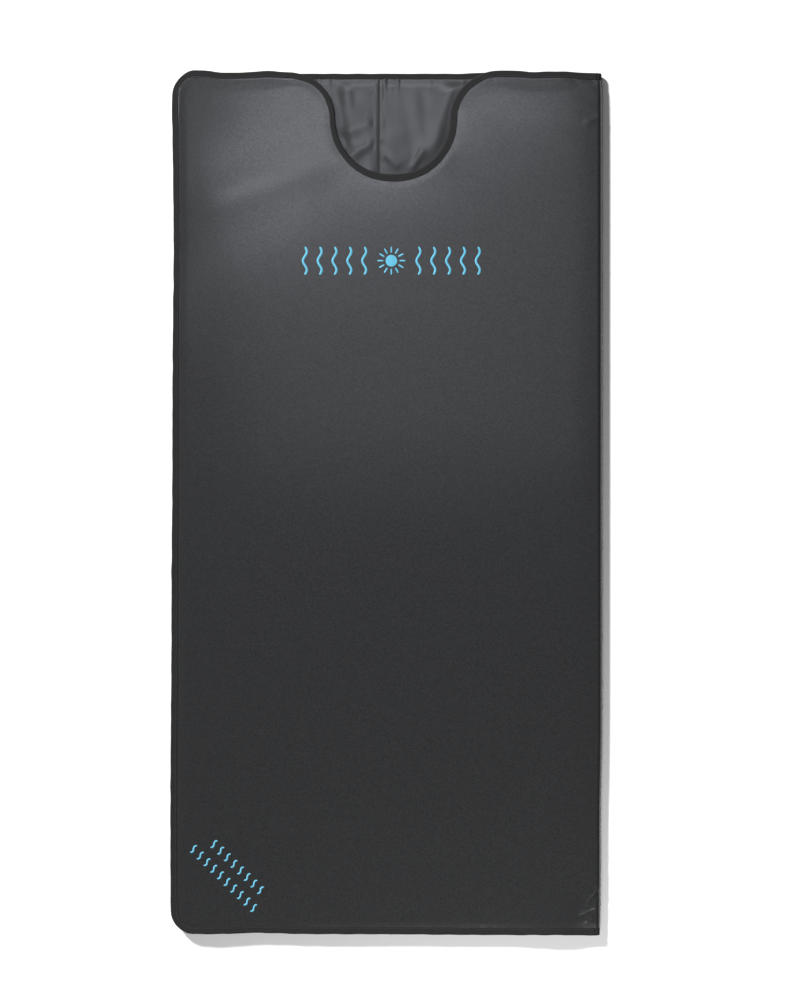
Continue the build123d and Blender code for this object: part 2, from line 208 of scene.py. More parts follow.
# ---- the pattern of one panel
def rim_inset(u, y):
    """Distance in from the free side, head and foot, with the rounded corners."""
    left = u + HALF_W
    end = HALF_L - np.abs(y)
    over_x = np.maximum(CORNER_R - left, 0)
    over_y = np.maximum(CORNER_R - end, 0)
    in_corner = (over_x > 0) & (over_y > 0)
    return np.where(in_corner, CORNER_R - np.hypot(over_x, over_y), np.minimum(left, end))


def neck_inset(u, y):
    """Distance in from the neck cut-out, negative inside it."""
    side = np.abs(u - NECK_X)
    up = y - THROAT_Y
    throat = np.hypot(side, np.minimum(up, 0)) - THROAT_R
    shoulder = SHOULDER_R - np.hypot(np.maximum(NECK_REACH - side, 0), up)
    return np.where(up > 0, shoulder, throat)


def inlet_distance(u, y, top):
    """Distance outside the inlet's width and beyond the given line."""
    side = np.maximum(np.maximum(INLET_LOW.x - u, u - INLET_HIGH.x), 0)
    return np.hypot(side, np.maximum(y - top, 0))


def panel_inset(u, y, flap):
    """Distance in from the nearest sewn edge."""
    if flap:
        return np.minimum(rim_inset(u, y), neck_inset(u, y))
    return rim_inset(u, y)


def sheet_inset(u, y, flap):
    """The same, with the notch that the inlet's flange fills."""
    inset = panel_inset(u, y, flap)
    return inset if flap else np.minimum(inset, inlet_distance(u, y, TAPE_W - HALF_L) + SHEET_MARGIN)


def near_inlet(u, y):
    """1 over the inlet housing, fading to 0 round it."""
    return 1 - ease(inlet_distance(u, y, INLET_HIGH.y) / INLET_BLEND)


def near_fold(u, reach=FOLD_BLEND):
    """1 on the fold, fading to 0 over the panel beside it."""
    return ease((u - FOLD_X) / reach + 1)


def off_crown(u, reach):
    """0 half-way round the fold, where the two halves meet, and 1 from a reach away."""
    return ease((FOLD_END - u) / reach)


def near_neck(u, y):
    """1 round the cut-out, fading to 0 along the head edge and below the throat."""
    return past(-np.abs(u - NECK_X), *NECK_BESIDE) * past(y, *NECK_ALONG)


def pinch_reach(u, y, flap):
    """How far in the padding reaches its full thickness: soonest round the neck, late at the flap's head."""
    free = PINCH_REACH
    if flap:
        at_head = past(y, *HEAD_PINCH_ALONG) * past(u, *HEAD_PINCH_ACROSS)
        free = mix(mix(PINCH_REACH, HEAD_PINCH_REACH, at_head), NECK_PINCH_REACH, near_neck(u, y))
    return mix(free, FOLD_PINCH_REACH, near_fold(u))


def pinch(u, y, flap):
    """1 under the tape, 0 where the panel has its full thickness."""
    inset = panel_inset(u, y, flap)
    return np.clip(1 - (inset - TAPE_W) / pinch_reach(u, y, flap), 0, 1) ** PINCH_POWER


def edge_mid(u, y, flap):
    """Depth of the middle of the sewn edge below the outer face."""
    if flap:
        at_head = past(y, *HEAD_EDGE_ALONG) * past(u, *HEAD_EDGE_ACROSS)
        free = mix(mix(FLAP_EDGE_MID, HEAD_EDGE_MID, at_head), NECK_EDGE_MID, near_neck(u, y))
    else:
        free = mix(BASE_EDGE_MID, BASE_NECK_MID, near_neck(u, y))
    return mix(free, FOLD_EDGE_MID, near_fold(u))


def droop(u, y):
    """How far the flap hangs down along its free side, and at the shoulder of the neck by the fold."""
    along = mix(SIDE_DROOP_LEAST, 1, past(y, *SIDE_DROOP_ALONG))
    side = SIDE_DROOP * fade(u + HALF_W, SIDE_DROOP_REACH) * along
    shoulder = SHOULDER_DROOP * fade(neck_inset(u, y), SHOULDER_DROOP_REACH)
    return side + shoulder * past(u, *SHOULDER_ACROSS) * past(y, *SHOULDER_ALONG)


def outer_depth(u, y, flap):
    """Depth of the cover's outer side."""
    closed = edge_mid(u, y, flap) - EDGE_HALF
    if not flap:
        over_inlet = near_inlet(u, y) * (rim_inset(u, y) > TAPE_W)
        return pinch(u, y, flap) * closed * (1 - INLET_FLAT * over_inlet)
    fold = FOLD_SOFT * np.clip((u - FOLD_X) / FOLD_SOFT_REACH + 1, 0, 1) ** 2
    return np.maximum(pinch(u, y, flap) * closed, fold * off_crown(u, FOLD_MEET)) + droop(u, y)


def inner_depth(u, y, flap):
    """Depth of the lining's inner side."""
    closed = edge_mid(u, y, flap) + EDGE_HALF - PANEL
    if flap:
        closed = closed + droop(u, y)
    return PANEL + pinch(u, y, flap) * closed * (1 - near_inlet(u, y))


def bulge(along, bulges):
    """Sum of smooth bulges along an edge."""
    return sum(amount * MM * bell(along - place, reach) for place, reach, amount in bulges)


def sway(u, y, depth, flap):
    """How far the hand-sewn outline wanders from its pattern, in the plane; the lining stays at the fold."""
    at_fold = near_fold(u, FOLD_BLEND if flap else FOLD_X - INLET_HIGH.x - 2 * MM)
    share = 1.0 if flap else mix(BASE_SHARE * (1 - near_inlet(u, y)), 1, at_fold)
    jitter = FLAP_JITTER if flap else BASE_JITTER
    jitter_x = ripple(y, *jitter[0])
    jitter_y = ripple(u, *jitter[1]) * (1 - at_fold)
    outermost = np.clip(1 - depth / PANEL, 0, 1)
    side = fade(u + HALF_W, OUTLINE_REACH) * (share * bulge(y, SIDE_BULGES) + jitter_x)
    head = fade(HALF_L - y, OUTLINE_REACH) * (share * bulge(u, HEAD_BULGES) + jitter_y)
    foot = fade(HALF_L + y, OUTLINE_REACH) * (share * bulge(u, FOOT_BULGES) + jitter_y)
    throat = 0
    if flap:
        throat = THROAT_FLAT * bell(u - NECK_X, THROAT_FLAT_REACH) * ease((THROAT_Y - y) / THROAT_FLAT_DEPTH)
        throat = throat * fade(neck_inset(u, y), OUTLINE_REACH)
    return at_fold * outermost * bulge(y, FOLD_BULGES) - side, head - foot + throat


def lift(u, y, flap):
    """How far the foot edge stands up, and how the flap's edge rises and falls."""
    off_fold = ease((FOLD_X - u) / LIFT_OFF_FOLD)
    at_foot = fade(HALF_L + y, FOOT_LIFT_REACH) * bulge(u, FOOT_LIFTS) * off_fold
    if not flap:
        return BASE_LIFT_SHARE * at_foot * (1 - ease(near_inlet(u, y)))
    edge = fade(panel_inset(u, y, True), EDGE_RIPPLE_REACH)
    return ripple(u + y, *EDGE_RIPPLE) * edge * off_fold + at_foot


def wrap(u, y, depth, flap):
    """Place in space of a point of the pattern."""
    dx, dy = sway(u, y, depth, flap)
    turn = np.maximum(u - FOLD_X, 0) / FOLD_R
    radius = FOLD_R - depth
    x = np.minimum(u, FOLD_X) + radius * np.sin(turn) + dx
    z = FOLD_R - radius * np.cos(turn)
    z = HEIGHT - z if flap else z
    return np.stack([x, y + dy + 0 * u, z + lift(u, y, flap)], -1)


# ---- mesh making
def placed(name, data, place=(0, 0, 0)):
    """Object in the scene that holds the given data."""
    made = bpy.data.objects.new(name, data)
    made.location = place
    bpy.context.scene.collection.objects.link(made)
    return made


def new_object(name, vertices, faces, uvs=None):
    """Object from arrays; uvs is one pair for each vertex."""
    mesh = bpy.data.meshes.new(name)
    mesh.from_pydata(np.asarray(vertices).tolist(), [], [tuple(face) for face in faces])
    if uvs is not None:
        layer = mesh.uv_layers.new(name="Run")
        corner = np.empty(len(mesh.loops), dtype=np.int32)
        mesh.loops.foreach_get("vertex_index", corner)
        layer.data.foreach_set("uv", np.asarray(uvs)[corner].astype(np.float32).ravel())
    mesh.polygons.foreach_set("use_smooth", [True] * len(mesh.polygons))
    mesh.update()
    return placed(name, mesh)


def snap_to_contour(u, y, inset_of, level, rounds=4):
    """Move points to where the inset has the given level."""
    step = 0.2 * MM
    least_slope = 0.2
    for _ in range(rounds):
        value = inset_of(u, y) - level
        slope_u = (inset_of(u + step, y) - inset_of(u - step, y)) / (2 * step)
        slope_y = (inset_of(u, y + step) - inset_of(u, y - step)) / (2 * step)
        size = np.maximum(slope_u**2 + slope_y**2, least_slope)
        u = u - value * slope_u / size
        y = y - value * slope_y / size
    return u, y


def shell_faces(quads, count, flip):
    """Faces of a closed two-layer sheet from the quads of its first layer."""
    first = quads[:, ::-1] if flip else quads
    second = first[:, ::-1] + count
    start = first.ravel()
    end = np.roll(first, -1, axis=1).ravel()
    key = start.astype(np.int64) * count + end
    opposite = end.astype(np.int64) * count + start
    rim = ~np.isin(key, opposite)
    a, b = start[rim], end[rim]
    walls = np.stack([b, a, a + count, b + count], 1)
    return np.concatenate([first, second, walls])


def panel_sheet(name, lines_u, lines_y, flap, front, back, margin=SHEET_MARGIN, inset_of=None):
    """Closed sheet between two depth functions, cut to the pattern of the panel."""

    def pattern_inset(at_u, at_y):
        return sheet_inset(at_u, at_y, flap)

    inset_of = inset_of or pattern_inset
    u, y = np.meshgrid(lines_u, lines_y, indexing="ij")
    mid_u = (u[1:, 1:] + u[:-1, :-1]) / 2
    mid_y = (y[1:, 1:] + y[:-1, :-1]) / 2
    keep = inset_of(mid_u, mid_y) > margin
    index = np.arange(u.size).reshape(u.shape)
    corners = (index[:-1, :-1], index[1:, :-1], index[1:, 1:], index[:-1, 1:])
    quads = np.stack([corner[keep] for corner in corners], 1)
    used = np.zeros(u.size, int)
    np.add.at(used, quads.ravel(), 1)
    on_border = ((used > 0) & (used < 4)).reshape(u.shape)
    on_side = np.zeros_like(on_border)
    on_side[0, :] = True
    on_side[-1, :] = True
    move = on_border & ~on_side
    u[move], y[move] = snap_to_contour(u[move], y[move], inset_of, margin)
    ends = on_border & on_side
    y[ends] = np.clip(y[ends], margin - HALF_L, HALF_L - margin)
    number = np.cumsum(used > 0) - 1
    quads = number[quads]
    taken = used.reshape(u.shape) > 0
    u, y = u[taken], y[taken]
    faces = shell_faces(quads, len(u), not flap)
    made = new_object(name, np.concatenate([front(u, y), back(u, y)]), faces)
    smooth = np.arange(len(faces)) < 2 * len(quads)
    made.data.polygons.foreach_set("use_smooth", smooth)
    return made


def tube_faces(index):
    """Faces of a tube from its rings of vertex numbers, with flat end caps."""
    ahead = np.roll(index, -1, axis=1)
    quads = np.stack([index[:-1], ahead[:-1], ahead[1:], index[1:]], -1).reshape(-1, 4)
    return [*quads, index[0][::-1], index[-1]]


def sweep(name, rings, uvs=None):
    """Tube through a list of rings of points."""
    rings = np.asarray(rings)
    count, size = rings.shape[:2]
    index = np.arange(count * size).reshape(count, size)
    made = new_object(name, rings.reshape(-1, 3), tube_faces(index), uvs)
    for cap in made.data.polygons[-2:]:
        cap.use_smooth = False
    return made


# ---- runs of the sewn edge
def straight(start, end, inward, step=4 * MM):
    """Points and inward directions along a straight edge."""
    start, end = np.array(start), np.array(end)
    count = max(2, int(np.linalg.norm(end - start) / step) + 1)
    t = np.linspace(0, 1, count)[:, None]
    return start + (end - start) * t, np.tile(np.array(inward, float), (count, 1))


def bend(centre, radius, start, end, inward_sign, step=3 * MM):
    """Points and inward directions along an arc; angles in degrees."""
    count = max(3, int(abs(math.radians(end - start)) * radius / step) + 1)
    turn = np.radians(np.linspace(start, end, count))
    out = np.stack([np.cos(turn), np.sin(turn)], 1)
    return np.array(centre) + radius * out, inward_sign * out


def join(first, *others):
    """One run from several, without doubled points."""
    return tuple(np.concatenate([first[k]] + [part[k][1:] for part in others]) for k in (0, 1))


def run_length(points):
    """Distance along a run at each of its points."""
    return np.concatenate([[0], np.cumsum(np.linalg.norm(np.diff(points, axis=0), axis=1))])


def foot_run(start_u, end_u):
    return straight((start_u, -HALF_L), (end_u, -HALF_L), (0, 1))


def head_run(start_u, end_u):
    return straight((start_u, HALF_L), (end_u, HALF_L), (0, -1))


def side_run():
    """Foot corner, free side and head corner."""
    centre_u = CORNER_R - HALF_W
    reach = HALF_L - CORNER_R
    return join(
        bend((centre_u, -reach), CORNER_R, 270, 180, -1),
        straight((-HALF_W, -reach), (-HALF_W, reach), (1, 0)),
        bend((centre_u, reach), CORNER_R, 180, 90, -1),
    )


def neck_run(overlap=9 * MM):
    """Shoulder, throat and shoulder, a little longer than the cut-out."""
    left = (NECK_X - NECK_REACH, THROAT_Y)
    right = (NECK_X + NECK_REACH, THROAT_Y)
    return join(
        head_run(left[0] - overlap, left[0]),
        bend(left, SHOULDER_R, 90, 0, -1),
        bend((NECK_X, THROAT_Y), THROAT_R, 180, 360, 1),
        bend(right, SHOULDER_R, 180, 90, -1),
        head_run(right[0], right[0] + overlap),
    )


def free_run(foot_u, head_u):
    """From a place on the foot edge, round the free side, to a place on the head edge."""
    corner = CORNER_R - HALF_W
    return join(foot_run(foot_u, corner), side_run(), head_run(corner, head_u))


def panel_runs(flap):
    """Runs of the edge tape: the neck parts them on the flap, and the inlet on the base."""
    if flap:
        return [free_run(FOLD_X, NECK_X - NECK_REACH), head_run(NECK_X + NECK_REACH, FOLD_X)]
    play = 0.5 * MM
    return [foot_run(FOLD_X, INLET_HIGH.x + play), free_run(INLET_LOW.x - play, FOLD_X)]


# ---- binding tape
STITCH_PITCH = 4.2 * MM
STITCH_LENGTH = 3.1 * MM
STITCH_RADIUS = 0.32 * MM
STITCH_INSET = 0.82
SEAM_ROW = 2.8 * MM
SEAM_BAND = 2.4 * MM
SEAM_BAND_RISE = 0.45 * MM
SEAM_GROOVE = 0.4 * MM
SEAM_GROOVE_HALF_WIDTH = 0.9 * MM
SEAM_OFF_TAPE = 22 * MM
NOSE = 2.6 * MM
LEG_STOPS = (1.0, 0.97, 0.86, 0.7, 0.52, 0.36, 0.24)
NOSE_STEPS = 7
# Width of a leg over its pattern.
BASE_HEAD_TAPE = 0.8
FLAP_TAPE = 0.86
CORNER_TAPE_LOSS = 0.16
CORNER_TAPE_REACH = 60 * MM
FOLD_TAPE_BLEND = 60 * MM
NECK_TAPE_TAPER = 1.5
TAPE_TIP = 0.93
TAPE_TIP_THINNING = 0.55
TAPE_END = 12 * MM
TAPE_END_DIP = -1.5
TAPE_PROBE = 4 * MM
TAPE_WOBBLE = (0.35 * MM, 0.05)
NECK_EXTRA = 0.25 * MM


def tape_share(u, y, flap):
    """Width of the tape's legs over their pattern: least in the head corner, full at the foot and fold."""
    at_fold = near_fold(u, FOLD_TAPE_BLEND)
    if not flap:
        return mix(mix(1.0, BASE_HEAD_TAPE, past(y, *HEAD_TAPE_ALONG)), 1.0, at_fold)
    corner = bell(head_corner_distance(u, y), CORNER_TAPE_REACH)
    edge = mix(FLAP_TAPE, 1.0, np.maximum(past(-y, *HEAD_TAPE_ALONG), at_fold))
    neck = past(-np.abs(u - NECK_X), *NECK_TAPE_BESIDE) * past(y, *NECK_TAPE_ALONG)
    return mix(edge - CORNER_TAPE_LOSS * corner, 1 - NECK_TAPE_TAPER * np.maximum(NECK_X - u, 0), neck)


def head_corner_distance(u, y):
    """Distance from the free corner of the head end."""
    return np.hypot(u + HALF_W, HALF_L - y)


def tape_section(half):
    """(inset, side) rows of the tape's cross-section; side is -1 on the cover, 0 at the nose, 1 inside."""
    just_off = 0.001
    outer = [(stop * TAPE_W, -1.0) for stop in LEG_STOPS]
    nose = []
    for i in range(NOSE_STEPS):
        turn = math.pi * (i / (NOSE_STEPS - 1) - 0.5)
        nose.append((NOSE * (1 - math.cos(turn)), math.sin(turn)))
    inner = [(inset, 1.0) for inset, _ in reversed(outer)]
    rows = outer + nose + inner
    if half == "outer":
        rows = [row for row in rows if row[1] <= just_off]
    if half == "inner":
        rows = [row for row in rows if row[1] >= -just_off]
    return np.array(rows)


def tape_piece(name, run, flap, half="both", extra=0.0, seed=1):
    """Folded tape swept along a run of the edge."""
    points, inward = run
    section = tape_section(half)
    length = run_length(points)
    wobble = ripple(length, *TAPE_WOBBLE, seed) * ease((FOLD_X - points[:, 0]) / (20 * MM))
    from_end = np.minimum(length, length[-1] - length)
    over = (extra * mix(TAPE_END_DIP, 1, ease(from_end / TAPE_END)))[:, None]
    share = tape_share(points[:, 0], points[:, 1], flap)[:, None]
    leg = (section[:, 0] / TAPE_W)[None, :]
    inset = section[:, 0][None, :] * share + wobble[:, None] * leg
    side = section[:, 1][None, :] + 0 * inset
    leg_edge = np.clip((leg - TAPE_TIP) / (1 - TAPE_TIP), 0, 1)

    def on_pattern(reach):
        return (points[:, k][:, None] + inward[:, k][:, None] * reach for k in (0, 1))

    def surface(grow):
        """Tape face; grow 1 is its outside and 0 its inside."""
        round_nose = (1 - grow) * TAPE * np.sqrt(np.clip(1 - side**2, 0, 1))
        reach = inset + np.where(np.abs(side) < 0.999, round_nose, 0)
        probe = tuple(on_pattern(np.maximum(reach, TAPE_PROBE)))
        top = outer_depth(*probe, flap)
        low = inner_depth(*probe, flap)
        thick = (low - top) / 2 + grow * (TAPE + over - leg_edge * TAPE * TAPE_TIP_THINNING)
        return wrap(*on_pattern(reach), (top + low) / 2 + side * thick, flap)

    rings = np.concatenate([surface(1.0), surface(0.0)[:, ::-1]], 1)
    if flap:
        rings = rings[:, ::-1]
    count = rings.shape[1]
    across = np.linspace(0, count * 1.4 * MM, count)
    uvs = np.stack([np.repeat(length, count), np.tile(across, len(length))], 1)
    return sweep(name, rings, uvs)


def capsule(sides=6):
    """Small stitch lying along X, length 1 and radius 1, as vertices and faces."""
    stations = ((-0.5, 0.35), (-0.34, 0.9), (0.34, 0.9), (0.5, 0.35))
    turn = 2 * math.pi * np.arange(sides) / sides
    rings = [np.stack([along + 0 * turn, r * np.cos(turn), r * np.sin(turn)], 1) for along, r in stations]
    index = np.arange(len(stations) * sides).reshape(-1, sides)
    return np.concatenate(rings), tube_faces(index)


def stitches(name, places, along, up):
    """One piece of many stitches, each at a place, along a direction, on a surface normal."""
    template, template_faces = capsule()
    along = along / np.linalg.norm(along, axis=1)[:, None]
    across = np.cross(up, along)
    across = across / np.linalg.norm(across, axis=1)[:, None]
    vertices = places[:, None, :]
    sizes = (STITCH_LENGTH, STITCH_RADIUS, STITCH_RADIUS)
    for k, (way, size) in enumerate(zip((along, across, np.cross(along, across)), sizes)):
        vertices = vertices + template[None, :, k : k + 1] * size * way[:, None, :]
    faces = [face + number * len(template) for number in range(len(places)) for face in template_faces]
    return new_object(name, vertices.reshape(-1, 3), faces)


def edge_stitches(name, runs, flap):
    """Lines of stitches that hold the tape, on the cover side and on the lining side."""
    places, along, normals = [], [], []
    for points, inward in runs:
        length = run_length(points)
        marks = np.arange(STITCH_PITCH, length[-1] - STITCH_PITCH, STITCH_PITCH)
        at_u, at_y = (np.interp(marks, length, points[:, k]) for k in (0, 1))
        in_u, in_y = (np.interp(marks, length, inward[:, k]) for k in (0, 1))
        inset = TAPE_W * STITCH_INSET * tape_share(at_u, at_y, flap)
        u = at_u + in_u * inset
        y = at_y + in_y * inset
        for sign, depth_of in ((-1, outer_depth), (1, inner_depth)):
            def face(pu, py):
                return wrap(pu, py, depth_of(pu, py, flap) + sign * (TAPE + 0.05 * MM), flap)

            here = face(u, y)
            places.append(here)
            along.append(face(u - in_y * MM, y + in_u * MM) - here)
            facing = 1.0 if (sign < 0) == flap else -1.0
            normals.append(np.tile((0, 0, facing), (len(here), 1)))
    return stitches(name, *(np.concatenate(rows) for rows in (places, along, normals)))


def seam_stitches(flap):
    """Two rows of stitches along the seam of the lining."""
    name = BODY[flap]
    face = lining_face(flap)
    reach = HALF_L - TAPE_W - STITCH_PITCH
    y = np.arange(-reach, reach, STITCH_PITCH)
    if flap:
        y = y[y < THROAT_Y - THROAT_R - TAPE_W]
    places, along = [], []
    for side in (-1, 1):
        u = np.full_like(y, SEAM_X + side * SEAM_ROW)
        here = face(u, y)
        places.append(here)
        along.append(face(u, y + MM) - here)
    places = np.concatenate(places)
    normals = np.tile((0, 0, -1.0 if flap else 1.0), (len(places), 1))
    rows = stitches(f"{name}_seam_stitches", places, np.concatenate(along), normals)
    dress(rows, "lining", SEWING_THREAD)
    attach(rows, name)


# ---- relief of the visible sheets
# Where relief starts inside the edge, as (start, reach), and how far it keeps from the fold's crown.
TAPE_HIDES = (9 * MM, 5 * MM)
COVER_FREE = (8 * MM, 8 * MM)
COVER_CLEAR = 8 * MM
PUCKER_CLEAR = 30 * MM
ROLLING_CLEAR = 50 * MM
PUCKER = (0.32 * MM, 24 * MM, 11)
PUCKER_STRENGTH = (0.6, 0.3, 16)
PUCKER_REACH = 14 * MM
LIP = 0.55 * MM
LIP_STRENGTH = (0.5, 0.08, 91)
LIP_CORNER = 1.5
LIP_CORNER_REACH = 70 * MM
LIP_HEAD = 0.3
LIP_REST = 0.12
LIP_LIMITS = (0.1, 1.2)
LIP_FROM_TAPE = 1.2 * MM
LIP_HALF_WIDTH = 1.3 * MM
ROLLING = (0.22 * MM, 0.34, 3)
DENTS = (0.06 * MM, 0.12, 4)
FOLD_CREASE = (0.9 * MM, 42 * MM, 51)
FOLD_CREASE_LEAN = 0.3
HEAD_CREASE_SHARE = 0.4
FOOT_CREASES_ALONG = (0.60, 0.15)
HEAD_CREASES_ALONG = (0.7, 0.12)
CREASES_OFF_END = (20 * MM, 20 * MM)
RIDGE_TAPER = 0.25


def edge_puckers(u, y):
    """Short ripples that run in from the flap's tape."""
    inset = panel_inset(u, y, True)
    round_neck = np.arctan2(y - THROAT_Y, u - NECK_X) * THROAT_R
    along = np.where(rim_inset(u, y) > neck_inset(u, y), round_neck, u + y)
    strength = np.clip(0.4 + ripple(along, *PUCKER_STRENGTH), 0, 1)
    return ripple(along, *PUCKER) * fade(inset - TAPE_W, PUCKER_REACH) * past(inset, *TAPE_HIDES) * strength


def ridge(u, y, start, end, width, height):
    """Soft crease along a line between two points."""
    axis = np.subtract(end, start)
    size = np.linalg.norm(axis)
    axis = axis / size
    along = (u - start[0]) * axis[0] + (y - start[1]) * axis[1]
    across = -(u - start[0]) * axis[1] + (y - start[1]) * axis[0]
    taper = RIDGE_TAPER * size
    return height * MM * bell(across, width) * ease(along / taper) * ease((size - along) / taper)


def tape_lip(u, y):
    """Bead of padding that stands up just inside the flap's tape, most in the head corner."""
    from_tape = panel_inset(u, y, True) - TAPE_W * tape_share(u, y, True)
    corner = LIP_CORNER * bell(head_corner_distance(u, y), LIP_CORNER_REACH)
    head = LIP_HEAD * past(y, *HEAD_TAPE_ALONG) + LIP_REST
    uneven = np.clip(0.7 + ripple(u + y, *LIP_STRENGTH), *LIP_LIMITS)
    return LIP * bell(from_tape - LIP_FROM_TAPE, LIP_HALF_WIDTH) * (corner + head * uneven)


# Creases of the flap's cover: start, end, half width, height in millimetres.
COVER_CREASES = (
    ((-0.45, 0.60), (-0.06, 0.74), 0.045, 1.0),
    ((0.396, -0.858), (0.450, -0.836), 0.0028, 1.3),
    ((0.412, -0.846), (0.452, -0.796), 0.0028, 1.5),
    ((0.410, -0.874), (0.448, -0.848), 0.0030, 1.1),
    ((0.400, -0.790), (0.456, -0.755), 0.0045, 0.5),
    ((0.405, 0.790), (0.456, 0.815), 0.0060, 0.4),
)


def cover_relief(u, y):
    """Rise of the flap's cover above its plain shape."""
    rise = (cloud(u, y, *ROLLING) + cloud(u, y, *DENTS)) * off_crown(u, ROLLING_CLEAR)
    rise = rise + edge_puckers(u, y) * off_crown(u, PUCKER_CLEAR)
    for crease in COVER_CREASES:
        rise = rise + ridge(u, y, *crease)
    rise = rise * past(panel_inset(u, y, True), *COVER_FREE) + tape_lip(u, y)
    return rise * off_crown(u, COVER_CLEAR)


def fold_creases(u, y):
    """Small creases across the fold near the foot and the head; they lie below the plain surface."""
    foot = past(-y, *FOOT_CREASES_ALONG) * past(HALF_L + y, *CREASES_OFF_END)
    head = HEAD_CREASE_SHARE * past(y, *HEAD_CREASES_ALONG) * past(HALF_L - y, *CREASES_OFF_END)
    waves = ripple(y + FOLD_CREASE_LEAN * u, *FOLD_CREASE)
    return np.maximum(waves, 0) * near_fold(u, FOLD_END - FOLD_X) * (foot + head)


def cover_depth(u, y, flap):
    """Depth of the cover's outer side with its creases."""
    creases = fold_creases(u, y)
    if flap:
        return outer_depth(u, y, True) - cover_relief(u, y) + creases
    return outer_depth(u, y, False) + creases * past(u, FOLD_X, FOLD_R)


def cover_face(flap, below):
    """Function that places points of the pattern, a depth below the cover's outer side."""
    def place(u, y):
        return wrap(u, y, cover_depth(u, y, flap) + below, flap)

    return place


def seam_relief(u, y):
    """Flat-felled seam of the lining: a raised band between two stitched grooves."""
    off = np.abs(u - SEAM_X)
    band = SEAM_BAND_RISE * ease((SEAM_BAND - off) / MM)
    groove = SEAM_GROOVE * bell(off - SEAM_ROW, SEAM_GROOVE_HALF_WIDTH)
    return (band - groove) * ease((HALF_L - 0.9 * TAPE_W - np.abs(y)) / SEAM_OFF_TAPE)


# Folds of the base lining in the neck opening: start, end, half width, height in millimetres.
LINING_FOLDS = (
    ((0.165, 0.925), (0.080, 0.700), 0.024, 3.4),
    ((0.080, 0.750), (0.045, 0.690), 0.007, 1.6),
    ((-0.100, 0.772), (-0.032, 0.800), 0.012, 1.0),
    ((-0.092, 0.722), (-0.026, 0.756), 0.009, 1.5),
    ((-0.110, 0.745), (-0.060, 0.715), 0.008, 1.0),
    ((-0.010, 0.735), (0.030, 0.700), 0.009, 1.0),
    ((-0.085, 0.890), (-0.080, 0.820), 0.010, 0.7),
)
FLUTE = (0.4 * MM, 45 * MM, 31)
FLUTE_LEAN = 0.15
FLUTE_LEAN_FROM = 0.8
LUMPS = (0.8 * MM, 70 * MM, 38)
LINING_SLACK = 0.7 * MM
SLACK_OFF_TAPE = 30 * MM
SLACK_OFF_SEAM = 12 * MM
LINING_SINK = 0.45 * MM
LINING_HIDDEN = 22 * MM
DIMPLES = (0.9 * MM, 45 * MM, 33)
DIMPLE_OFF_SEAM = 9 * MM
DIMPLE_HALF_WIDTH = 5 * MM
PLEATS = (1.7 * MM, 19 * MM, 34)
PLEAT_STRENGTH = (0.7, 90 * MM, 35)
LEAST_PLEAT = -0.255 * MM
PLEAT_REACH = 20 * MM
PILLOW = 2.4 * MM
PILLOW_OFF_NECK = 70 * MM
PILLOW_OFF_TAPE = 110 * MM
ROOM_UNDER_FLAP = 2.4 * MM
ROOM_IN_NECK = 6 * MM
ROOM_REACH = 24 * MM


def lining_relief(u, y):
    """Rise of the base lining, most where it shows in the neck cut-out."""
    into_neck = -neck_inset(u, y)
    from_tape = HALF_L - TAPE_W - y
    off_seam = np.abs(u - SEAM_X)
    flutes = ripple(u + FLUTE_LEAN * (y - FLUTE_LEAN_FROM), *FLUTE)
    flutes = flutes + cloud(u, y, *LUMPS) + LINING_SLACK
    for fold in LINING_FOLDS:
        flutes = flutes + ridge(u, y, *fold)
    dimples = np.clip(ripple(y, *DIMPLES), 0, DIMPLES[0])
    dimples = dimples * bell(off_seam - DIMPLE_OFF_SEAM, DIMPLE_HALF_WIDTH)
    strength = np.clip(0.3 + ripple(u, *PLEAT_STRENGTH), 0, 1)
    pleats = np.maximum(ripple(u, *PLEATS), LEAST_PLEAT) * strength
    pleats = pleats * fade(from_tape, PLEAT_REACH) * past(HALF_L - y, *TAPE_HIDES)
    soft = flutes * (1 - bell(off_seam, SLACK_OFF_SEAM)) - dimples
    soft = soft * ease(from_tape / SLACK_OFF_TAPE) + pleats
    pillow = PILLOW * ease(into_neck / PILLOW_OFF_NECK) * ease(from_tape / PILLOW_OFF_TAPE)
    soft = np.maximum(soft, -LINING_SINK) + pillow
    room = mix(ROOM_UNDER_FLAP, ROOM_IN_NECK, ease(into_neck / ROOM_REACH))
    soft = np.where(soft > 0, room * np.tanh(soft / room), soft)
    shows = 1 - ease(-into_neck / LINING_HIDDEN)
    return soft * shows + seam_relief(u, y)


def lining_face(flap, below=0.0):
    """Function that places points of the pattern on the lining's inner side, or below it."""
    def place(u, y):
        relief = seam_relief(u, y) if flap else lining_relief(u, y)
        return wrap(u, y, inner_depth(u, y, flap) - below + relief, flap)

    return place


